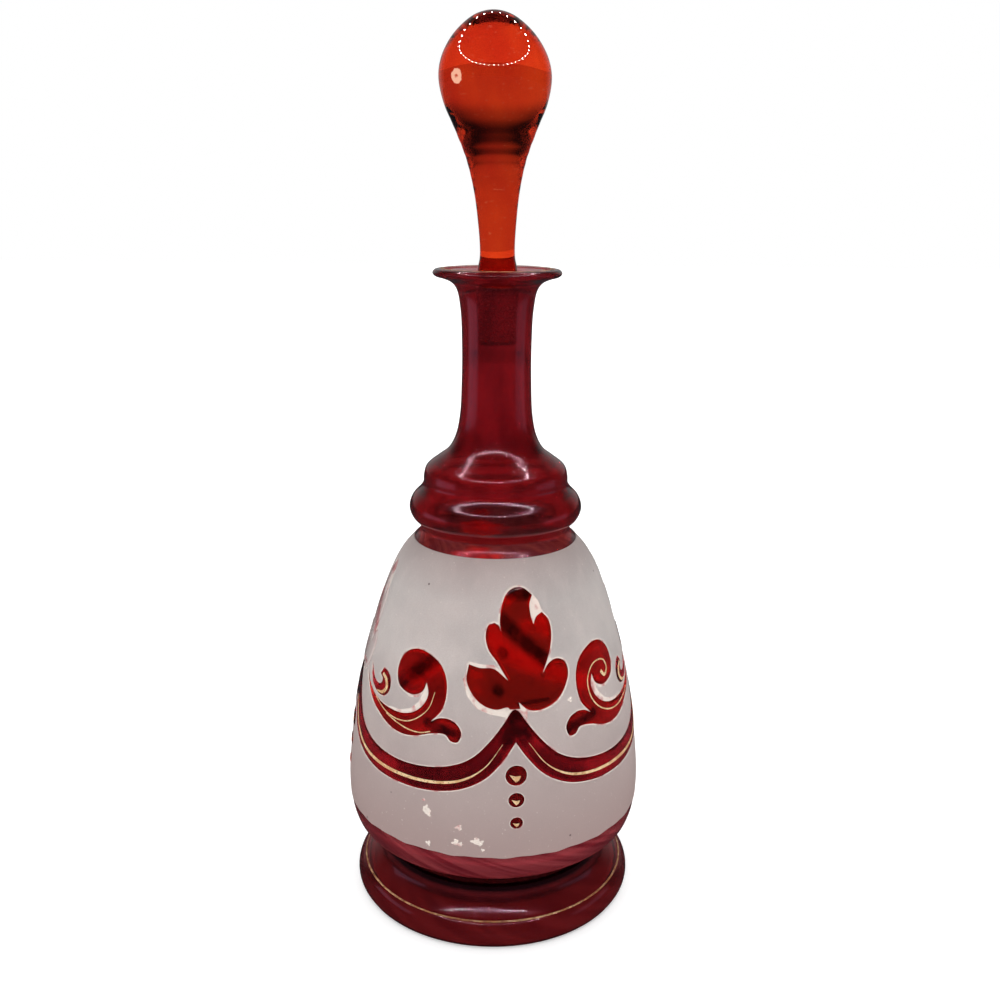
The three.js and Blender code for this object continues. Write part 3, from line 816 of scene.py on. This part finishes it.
def layer(loops, keeps, cell, face_height, back, girth=None):
    """A thin closed layer on the body: flat loops meshed, bent round, and given a back and edges.

    A layer with a girth goes right round, so its two ends share their corners.
    Each corner comes with its flat place.
    """
    low = np.min([loop.min(0) for loop in loops], 0)
    high = np.max([loop.max(0) for loop in loops], 0)
    columns = np.arange(low[0] + cell / 2, high[0], cell)
    rows = np.arange(low[1] + cell / 2, high[1], cell)
    grid = np.stack(np.meshgrid(columns, rows), -1).reshape(-1, 2)
    grid = grid[keeps(grid) & (edge_distance(grid, loops) > cell * CLEAR_OF_EDGES)]
    points, edges = [], []
    for loop in loops:
        first = len(points)
        points.extend(map(tuple, loop))
        edges.extend((first + i, first + (i + 1) % len(loop)) for i in range(len(loop)))
    points.extend(map(tuple, grid))
    flat, _, triangles, *_ = geometry.delaunay_2d_cdt([Vector(p) for p in points], edges, [], 0, SAME_PLACE)
    flat = np.array([tuple(p) for p in flat])
    triangles = np.array([tuple(t) for t in triangles])
    triangles = triangles[keeps(flat[triangles].mean(1))]
    if girth:
        around = np.stack([np.round((flat[:, 0] - low[0]) % girth, 2) % girth, np.round(flat[:, 1], 2)], 1)
        _, first, same = np.unique(around, axis=0, return_index=True, return_inverse=True)
        triangles = first[same.ravel()[triangles]]
    used, triangles = np.unique(triangles, return_inverse=True)
    flat, triangles = flat[used], triangles.reshape(-1, 3)
    turns, heights = flat[:, 0] / MM_PER_DEGREE, flat[:, 1]
    front = on_body(turns, heights, face_height(flat))
    rear = on_body(turns, heights, back)
    count = len(flat)
    directed = {edge for a, b, c in triangles for edge in ((a, b), (b, c), (c, a))}
    rim = [(a, b) for a, b in directed if (b, a) not in directed]
    faces = [(int(a), int(b), int(c)) for a, b, c in triangles]
    faces += [(int(c) + count, int(b) + count, int(a) + count) for a, b, c in triangles]
    faces += [(int(b), int(a), int(a) + count, int(b) + count) for a, b in sorted(rim)]
    return np.concatenate([front, rear]), faces, np.concatenate([flat, flat])


# Finishes

clear_glass = clear_blown_glass()
neck_stain = ruby_stained_glass("ruby_stained_neck", "#52050a", "#6e0a10", 0.0, 6.0, 0.94, gloss=0.12)
collar_stain = ruby_stained_glass("ruby_stained_collar", "#560609", "#740c11", 0.0, 6.0, 0.94, gloss=0.01)
ruff_stain = ruby_stained_glass("ruby_stained_ruff", "#861a22", "#b03430", streak_mm=3.0, clarity=0.8,
                                coat=0.2)
band_stain = ruby_stained_glass("ruby_stained_band", "#7c1c26", "#a84046", clarity=0.55)
# The foot's top turns nearly black towards the waist as painted shade, for the shade under the belly
foot_stain = ruby_stained_glass("ruby_stained_foot", "#741216", "#8e2022", streak_mm=9.0, painted_shade_heights=(13.8, 16.4))
# Painted shade: the waist is stained nearly black and opaque, for the shade in the crease under the belly
waist_stain_painted_shade = ruby_stained_glass("ruby_stained_waist_painted_shade", "#180304", "#240406", clarity=0.1)
leaf_stain = ruby_stained_window("ruby_stained_leaf", "#5c0a0b", "#dc382c", 6.0, 0.12)
worn_leaf_stain = ruby_stained_window("ruby_stained_worn_leaf", "#c07c7c", "#d8cac6", 5.0, 0.25, 0.3)
scroll_stain = ruby_stained_window("ruby_stained_scroll", "#50080e", "#e83430", 5.0, 0.25)
swag_stain = ruby_stained_window("ruby_stained_swag", "#4c0c12", "#d03440", 6.0, 0.3)
bead_stain = ruby_stained_window("ruby_stained_bead", "#6a1014", "#dc3a38", 2.0, 0.3)
stopper_glass = amber_ruby_glass()
seat_glass = ground_glass("ground_glass_seat", "#f2ecea", "#fcfaf9", 0.04, 0.1, 1.0)
peg_glass = ground_glass("ground_glass_peg", "#dad4d1", "#eee9e7", 0.2, 0.3, 0.88)
frosting = satin_etched_glass()
bevel = bare_glass_painted_glint()
gilding = burnished_gilding("burnished_gilding", "#dcae7c", "#f6d6a6", 0.58)
rubbed_gilding = burnished_gilding("burnished_gilding_rubbed", "#b4784a", "#e4b484", 0.5)


# Pieces

def make_bottle():
    """The blown bottle: stained below and above the frieze, clear between, with a ground seat in its mouth.

    The crease of the waist is painted nearly black as shade, and the stain lies thin on the ruff under the
    lower collar.
    """
    profile = [(0, WAIST_HEIGHT + 0.3), *bottle_outside, *bottle_mouth, *bottle_hollow]
    vertices, faces = turned(profile)
    zones = [
        # The waist, painted nearly black for the shade in the crease under the belly
        (waist_stain_painted_shade, WAIST_HEIGHT),
        (band_stain, CREASE_TOP),
        (clear_glass, FROST_BOTTOM + BAND_LAP),
        (ruff_stain, FROST_TOP - RUFF_LAP),
        (collar_stain, RUFF_TOP),
        (neck_stain, NECK_BOTTOM),
    ]
    finishes = [finish for finish, bottom in zones]
    piece = new_piece("bottle_glass", vertices, faces, [*finishes, seat_glass], "decanter",
                      "ruby_stained_glass", ["bottle"])
    outer_faces = len(bottle_outside) * TURNED_SIDES
    for face in piece.data.polygons:
        height = face.center.z / MM
        if face.index < outer_faces:
            face.material_index = sum(height > bottom for finish, bottom in zones[1:])
        elif SEAT_BOTTOM < height < SEAT_TOP:
            face.material_index = len(zones)
        else:
            face.material_index = finishes.index(clear_glass)
    return piece


def make_foot():
    """The foot: a disc with a rolled rim, dished underneath."""
    profile = [(0, 8), *foot_recess, (FOOT_RADIUS - 2.3, 0), *foot_top, (0, WAIST_HEIGHT)]
    return new_piece("foot_glass", *turned(profile), [foot_stain], "decanter", "ruby_stained_glass", ["foot"])


def make_stopper():
    """Solid, made by hand: its head leans a little over the stem, and its peg is ground."""
    profile = [
        (0, peg_bottom - PEG_CHAMFER), (peg_radius - PEG_CHAMFER, peg_bottom - PEG_CHAMFER),
        (peg_radius, peg_bottom),
        (MOUTH_RADIUS - GROUND_CLEARANCE, SEAT_TOP), *stopper_stem,
    ]
    vertices, faces = turned(profile)
    leaning = []
    for x, y, z in vertices:
        height = z / MM
        rise = max(height - LIP_HEIGHT, 0) / (HEAD_HEIGHT - LIP_HEIGHT)
        worked = math.exp(-((height - TOOLED_HEIGHT) / TOOLED_REACH) ** 2)
        mark = math.sin(TOOL_MARK_TURN * height + TOOL_MARK_WAVER * math.sin(math.atan2(y, x)))
        ripple = 1 - TOOL_MARK * worked * (1 + mark)
        leaning.append((x * ripple - HEAD_LEAN * MM * rise ** LEAN_CURVE, y * ripple, z))
    piece = new_piece("stopper_glass", leaning, faces, [stopper_glass, peg_glass], "stopper",
                      "amber_ruby_glass", ["stopper"])
    ground = face_centres(piece)[:, 2] < SEAT_TOP - GROUND_MARGIN
    piece.data.polygons.foreach_set("material_index", ground.astype(np.int32))


def carried(points, turn, facing=1, narrowing=1):
    """The points turned round the body, facing -1 to mirror them, and narrowed."""
    return [[turn + facing * narrowing * across, height] for across, height in points]


# A stroke is at its thickest until this much of its half width is left
STROKE_STEEPNESS = 1.6


def thickness(flat, strokes):
    """How thick the stain lies at flat places, from 0 to 1. A stroke is its two ends and half its width."""
    thick = np.zeros(len(flat))
    for start, end, half_width in strokes:
        first, last = to_flat([start, end])
        along = last - first
        share = np.clip((flat - first) @ along / max(along @ along, 1e-9), 0, 1)
        gap = np.linalg.norm(flat - first - share[:, None] * along, axis=1)
        thick = np.maximum(thick, np.clip(STROKE_STEEPNESS * (1 - gap / half_width), 0, 1))
    return thick


def ribbon(points, widths):
    """A brush line along the points, as a closed outline. Its width runs from each width to the next."""
    middle = to_flat(flowing(points))
    along = np.gradient(middle, axis=0)
    along /= np.linalg.norm(along, axis=1)[:, None]
    spacing = np.linspace(0, 1, len(widths))
    width = np.interp(np.linspace(0, 1, len(middle)), spacing, widths)[:, None]
    aside = np.stack([along[:, 1], -along[:, 0]], 1) * width / 2
    loop = np.concatenate([middle + aside, (middle - aside)[::-1]])
    return [[x / MM_PER_DEGREE, height] for x, height in loop]


def marked(piece, name, values):
    """Keeps a number with each corner of a piece, for its finish."""
    kept = piece.data.attributes.new(name, "FLOAT", "POINT")
    kept.data.foreach_set("value", np.asarray(values, np.float32))


def relief(name, stands_for, points, material, slot, back, depth, round_over, strokes=(), rounded=None):
    """One ornament: its outline raised a little, and rounded over along that outline or the rounded one."""
    loop = to_flat(points)
    edge = to_flat(rounded or points)

    def swell(flat):
        share = np.clip(edge_distance(flat, [edge]) / round_over, 0, 1)
        risen = share ** 2 * (3 - 2 * share)
        return back + depth * (ROUNDED_EDGE_SHARE + (1 - ROUNDED_EDGE_SHARE) * risen)

    vertices, faces, flat = layer([loop], lambda flat: inside(flat, loop), WINDOW_CELL, swell, back)
    piece = new_piece(name, vertices, faces, [material], "decanter", slot, [stands_for])
    marked(piece, "thick_stain", thickness(flat, strokes))
    return loop


def spot(height, radius, turn=0.0, wobble=0.0):
    """A round or ragged outline, radius in millimetres."""
    points = []
    for degrees in range(0, 360, 10):
        angle = math.radians(degrees)
        reach = radius * (1 + wobble * (math.sin(3 * angle + turn) + 0.6 * math.sin(5 * angle + height)))
        points.append([turn + reach * math.cos(angle) / MM_PER_DEGREE, height + reach * math.sin(angle)])
    return points


def gilt_drop(height, radius):
    """The gold left on a bead: a blunt three-cornered drop, low and to the left."""
    corners = [[-0.62, 0.12], [-0.1, -0.05], [0.42, -0.02], [0.28, -0.42], [-0.05, -0.66], [-0.35, -0.3]]
    return [[radius * across / MM_PER_DEGREE, height + radius * up] for across, up in corners]


def gild(name, stands_for, points):
    """Gilding laid on the stain."""
    relief(name, stands_for, points, gilding, "burnished_gilding", BED + STAIN_DEPTH + GILT_BED, GILT_DEPTH,
           GILT_ROUNDING)


def make_ornament(bay):
    """The windows of one bay and the gilding on them.

    Returns the flat outline of each window with its bevel's width, and the bare patches.
    """
    number = bay + 1
    leaf_turn = bay * QUARTER
    panel_turn = leaf_turn - QUARTER / 2
    facing = -1 if bay % 2 else 1
    narrowing = SIDE_LEAF_NARROWING if bay % 2 else 1

    def on_leaf(points):
        return carried(points, leaf_turn, 1, narrowing)

    def on_panel(points):
        return carried(points, panel_turn, facing)

    def stroked(place_on, strokes):
        return [(*place_on([start, end]), half_width) for start, end, half_width in strokes]

    leaf_finish = worn_leaf_stain if number == WORN_LEAF else leaf_stain
    scroll_strokes = stroked(on_panel, SCROLL_STROKES[bay % 2:])
    windows = {
        f"leaf_{number}": (on_leaf(leaf_outline), leaf_finish, "stained_window_glass",
                           stroked(on_leaf, LEAF_STROKES)),
        f"swag_{number}": (on_panel(swag_outline), swag_stain, "ruby_enamel",
                           stroked(on_panel, SWAG_STROKES)),
        f"scroll_{number}": (on_panel(scroll_outline), scroll_stain, "ruby_enamel", scroll_strokes),
        f"hook_{number}": (on_panel(hook_outline), swag_stain, "ruby_enamel", []),
    }
    for place, height, radius in BEADS:
        bead = carried(spot(height, radius), leaf_turn)
        windows[f"bead_{number}_{place}"] = (bead, bead_stain, "ruby_enamel", [])
    loops = []
    for name, (points, finish, slot, strokes) in windows.items():
        rounded = on_panel(swag_run) if name.startswith("swag") else None
        loop = relief(f"{name}_stain", name, points, finish, slot, BED, STAIN_DEPTH, WINDOW_ROUNDING, strokes,
                      rounded)
        loops.append((loop, BEVEL_WIDTHS[name.split("_")[0]]))

    gild(f"gold_on_swag_{number}", f"gilt_swag_line_{number}", on_panel(ribbon(swag_line, SWAG_LINE_WIDTHS)))
    for place, (points, widths) in enumerate(SCROLL_LINES_WORN if bay == 0 else SCROLL_LINES):
        name = f"gold_on_scroll_{number}_{place + 1}"
        gild(name, f"gilt_scroll_line_{number}", on_panel(ribbon(points, widths)))
    gild(f"gold_on_hook_{number}", f"hook_{number}", on_panel(ribbon(hook_line, HOOK_LINE_WIDTHS)))
    for place, height, radius in BEADS:
        drop = carried(gilt_drop(height, radius), leaf_turn)
        gild(f"gold_on_bead_{number}_{place}", f"bead_{number}_{place}", drop)
    bare = [*map(on_leaf, LEAF_BARE_PATCHES), *map(on_panel, SCROLL_BARE_PATCHES)]
    return loops, [to_flat(patch) for patch in bare]


# How far past the skin's seam a window still counts, in millimetres
WRAP_MARGIN = 2


def make_frosted_ground(windows, bare):
    """The etched skin right round the body, with a bare bevel along every window."""
    girth = 360 * MM_PER_DEGREE
    left = -QUARTER / 2 * MM_PER_DEGREE
    across = np.linspace(left, left + girth, BORDER_CORNERS)
    rising = np.linspace(FROST_BOTTOM, FROST_TOP, SEAM_CORNERS)[1:-1]
    wander = sum(
        height * np.sin(across * 2 * waves * math.pi / girth + shift) for height, waves, shift in BORDER_WAVES
    )
    wander -= wander[0]
    wander[-1] = 0
    border = np.concatenate([
        np.stack([across, FROST_BOTTOM + wander], 1),
        np.stack([np.full(len(rising), left + girth), rising], 1),
        np.stack([across[::-1], np.full(len(across), FROST_TOP)], 1),
        np.stack([np.full(len(rising), left), rising[::-1]], 1),
    ])

    def all_round(loops):
        """The loops with their copies a girth away, as far as those reach the skin."""
        first, last = left - WRAP_MARGIN, left + girth + WRAP_MARGIN
        copies = [loop + [shift, 0] for loop in loops for shift in (-girth, 0, girth)]
        return [loop for loop in copies if loop[:, 0].max() > first and loop[:, 0].min() < last]

    by_width = {
        width: all_round([loop for loop, loop_width in windows if loop_width == width])
        for width in sorted(set(BEVEL_WIDTHS.values()))
    }
    windows = [loop for loops in by_width.values() for loop in loops]
    bare = all_round(bare)
    edges = [widened(loop, WINDOW_GAP) for loop in windows]
    bevels = [widened(loop, WINDOW_GAP + width) for width, loops in by_width.items() for loop in loops]

    def in_any(flat, loops):
        found = np.zeros(len(flat), bool)
        for loop in loops:
            found |= inside(flat, loop)
        return found

    def keeps(flat):
        clear = ~in_any(flat, windows) & (edge_distance(flat, windows) > WINDOW_GAP * 0.9)
        return clear & inside(flat, border)

    def sloped(flat):
        share = np.clip(edge_distance(flat, windows) / FROST_SLOPE, FROST_EDGE_SHARE, 1)
        return BED + FROST_DEPTH * share

    vertices, faces, _ = layer([border, *edges, *bevels, *bare], keeps, SKIN_CELL, sloped, BED, girth)
    piece = new_piece("etched_skin", vertices, faces, [frosting, bevel], "decanter", "satin_frosted_glass",
                      ["frosted_ground"])
    centres = face_centres(piece)
    turns = np.degrees(np.arctan2(centres[:, 0], -centres[:, 1])) - FRONT_LEAF_TURN
    turns = (turns + QUARTER / 2) % 360 - QUARTER / 2
    flat = np.stack([turns * MM_PER_DEGREE, centres[:, 2]], 1)
    is_bare = in_any(flat, bare)
    for width, loops in by_width.items():
        is_bare |= edge_distance(flat, loops) < WINDOW_GAP + width
    piece.data.polygons.foreach_set("material_index", is_bare.astype(np.int32))


def make_frieze():
    """Every bay's ornament, and the etched skin that leaves room for it."""
    windows = []
    bare = [to_flat(spot(height, radius, turn, 0.3)) for (turn, height), radius in CHIPS]
    for bay in range(REPEATS):
        loops, patches = make_ornament(bay)
        windows += loops
        bare += patches
    make_frosted_ground(windows, bare)


# The gap under a gilt band
RING_BED = 0.05


def gilt_ring(name, stands_for, radius, height, width, tilt):
    """A gilt band on a ring of glass, lying along its slope."""
    cosine, sine = math.cos(tilt), math.sin(tilt)
    profile = []
    for across, up in ((-0.5, 0), (0.5, 0), (0.3, 1), (-0.3, 1)):
        x, y = across * width, RING_BED + up * GILT_DEPTH
        profile.append((radius + x * cosine - y * sine, height + x * sine + y * cosine))
    new_piece(name, *turned(profile), [rubbed_gilding], "decanter", "burnished_gilding", [stands_for])


stained_glass = [make_bottle(), make_foot()]
make_stopper()
make_frieze()
gilt_ring("gold_on_lip", "gilt_lip_ring", LIP_RADIUS - 3.2, LIP_HEIGHT, 1.4, 0)
gilt_ring("gold_on_foot", "gilt_foot_ring", FOOT_RING_RADIUS, FOOT_RING_HEIGHT, 0.6, -0.5)


# Studio: a pale floor, soft light and the camera

# Half the side of the floor, in metres
FLOOR_REACH = 4.0

# The lamp ring hangs over the stopper, lower at the front, as its reflections show
LAMPS = 36
LAMP_RING_RADIUS = 166
LAMP_RING_CENTRE = (-10, -30, 395)
LAMP_RING_TILT = 20
LAMP_RADIUS = 3.0
LAMP_POWER = 0.045

# A soft panel stands at each side: its place in millimetres, its size in metres, and the power of each
PANEL_DISTANCE = 360
PANEL_FORWARD = -44
PANEL_HEIGHT = 138
PANEL_SIZE = (0.26, 0.105)
PANEL_COLOUR = (1.0, 0.62, 0.86)
PANEL_POWERS = {-1: 0.044, 1: 0.026}

# The camera as fitted to the photograph: metres, millimetres of lens, and degrees
CAMERA_PLACE = (0, -0.3715, 0.2433)
CAMERA_LENS = 40.1
CAMERA_HEADING = -0.24
CAMERA_DOWN = 15.08
CAMERA_ROLL = 0.54

# Light goes through many walls of glass on its way
GLASS_BOUNCES = 24
MIRROR_BOUNCES = 8


def mirrored_ray(tree):
    """1 for a ray that a surface mirrors, 0 for one through glass, which counts as glossy too."""
    glossy = add_node(tree, "ShaderNodeLightPath", output="Is Glossy Ray")
    through = add_node(tree, "ShaderNodeLightPath", output="Is Transmission Ray")
    return add_node(tree, "ShaderNodeMath", {"operation": "SUBTRACT", "use_clamp": True}, {
        0: glossy, 1: through,
    })


def add_floor():
    """A white sheet. What the glass mirrors of it is toned down, as if black cards stood round the set."""
    corners = [(-1, -1), (1, -1), (1, 1), (-1, 1)]
    floor_mesh = bpy.data.meshes.new("floor")
    floor_mesh.from_pydata([(x * FLOOR_REACH, y * FLOOR_REACH, 0) for x, y in corners], [], [(0, 1, 2, 3)])
    floor = bpy.data.objects.new("floor", floor_mesh)
    bpy.context.scene.collection.objects.link(floor)
    made, tree, shader = new_material("white_paper")
    mirrored_share = mirrored_ray(tree)
    set_inputs(tree, shader, {
        "Base Color": laid_over(tree, "#fdfdfd", "#302c30", mirrored_share, 0, 1),
        "Emission Color": laid_over(tree, "#ffffff", "#000000", mirrored_share, 0, 1),
        "Emission Strength": 0.3,
        "Roughness": 1.0,
        "Specular IOR Level": 0.0,
    })
    floor_mesh.materials.append(made)


def add_surroundings():
    """A white tent for what is seen through the glass, dark overhead, and dim in its mirror."""
    world = bpy.data.worlds.new("studio")
    world.use_nodes = True
    world.cycles.sampling_method = "NONE"
    tree = world.node_tree
    direction = add_node(tree, "ShaderNodeTexCoord", output="Generated")
    back = add_node(tree, "ShaderNodeSeparateXYZ", inputs={"Vector": direction}, output="Y")
    up = add_node(tree, "ShaderNodeSeparateXYZ", inputs={"Vector": direction}, output="Z")
    overhead = add_node(tree, "ShaderNodeMapRange", {"interpolation_type": "SMOOTHSTEP"}, {
        "Value": up, "From Min": 0.31, "From Max": 0.62, "To Min": 1.0, "To Max": 0.02,
    })
    behind = add_node(tree, "ShaderNodeMapRange", {"interpolation_type": "SMOOTHSTEP"}, {
        "Value": back, "From Min": 0.5, "From Max": 1.0, "To Min": 0.012, "To Max": 0.3,
    })
    strength = 1.2
    for share, value in (
        (mirrored_ray(tree), behind),
        (add_node(tree, "ShaderNodeLightPath", output="Is Transmission Ray"), overhead),
        (add_node(tree, "ShaderNodeLightPath", output="Is Camera Ray"), 1.0),
    ):
        strength = add_node(tree, "ShaderNodeMix", inputs={0: share, 2: strength, 3: value})
    set_inputs(tree, tree.nodes["Background"], {"Color": "#ffffff", "Strength": strength})
    bpy.context.scene.world = world


def add_light(name, kind, place, **settings):
    """A light that shows only in what the glass mirrors. Its place is in millimetres."""
    data = bpy.data.lights.new(name, kind)
    for setting, value in settings.items():
        setattr(data, setting, value)
    light = bpy.data.objects.new(name, data)
    light.location = Vector(place) * MM
    light.visible_camera = False
    light.visible_diffuse = False
    light.visible_transmission = False
    bpy.context.scene.collection.objects.link(light)
    return light


def add_lamps(mirrored_by):
    """The ring of small lamps, and a soft panel at each side that only the pieces given mirror."""
    tilt = math.radians(LAMP_RING_TILT)
    for lamp in range(LAMPS):
        angle = 2 * math.pi * lamp / LAMPS
        across, along = LAMP_RING_RADIUS * math.sin(angle), LAMP_RING_RADIUS * math.cos(angle)
        offset = (across, along * math.cos(tilt), along * math.sin(tilt))
        place = [centre + step for centre, step in zip(LAMP_RING_CENTRE, offset)]
        add_light(f"lamp_{lamp}", "POINT", place, energy=LAMP_POWER, shadow_soft_size=LAMP_RADIUS * MM)
    receivers = bpy.data.collections.new("mirrors_the_panels")
    for piece in mirrored_by:
        receivers.objects.link(piece)
    for side, power in PANEL_POWERS.items():
        place = (side * PANEL_DISTANCE, PANEL_FORWARD, PANEL_HEIGHT)
        panel = add_light(f"side_panel_{side}", "AREA", place, energy=power, color=PANEL_COLOUR,
                          shape="RECTANGLE", size=PANEL_SIZE[0], size_y=PANEL_SIZE[1])
        panel.rotation_euler = (math.radians(90), 0, math.radians(90 * side))
        panel.light_linking.receiver_collection = receivers


def make_camera():
    """The camera that took the photograph."""
    data = bpy.data.cameras.new("camera")
    data.sensor_width = 36
    data.lens = CAMERA_LENS
    data.clip_start = 0.01
    camera = bpy.data.objects.new("camera", data)
    bpy.context.scene.collection.objects.link(camera)
    camera.matrix_world = (
        Matrix.Translation(CAMERA_PLACE)
        @ Matrix.Rotation(math.radians(CAMERA_HEADING), 4, "Z")
        @ Matrix.Rotation(math.radians(90 - CAMERA_DOWN), 4, "X")
        @ Matrix.Rotation(math.radians(CAMERA_ROLL), 4, "Z")
    )
    bpy.context.scene.camera = camera


add_floor()
add_surroundings()
add_lamps(stained_glass)
make_camera()
scene = bpy.context.scene
scene.view_settings.view_transform = "Standard"
scene.cycles.max_bounces = GLASS_BOUNCES
scene.cycles.transmission_bounces = GLASS_BOUNCES
scene.cycles.glossy_bounces = MIRROR_BOUNCES
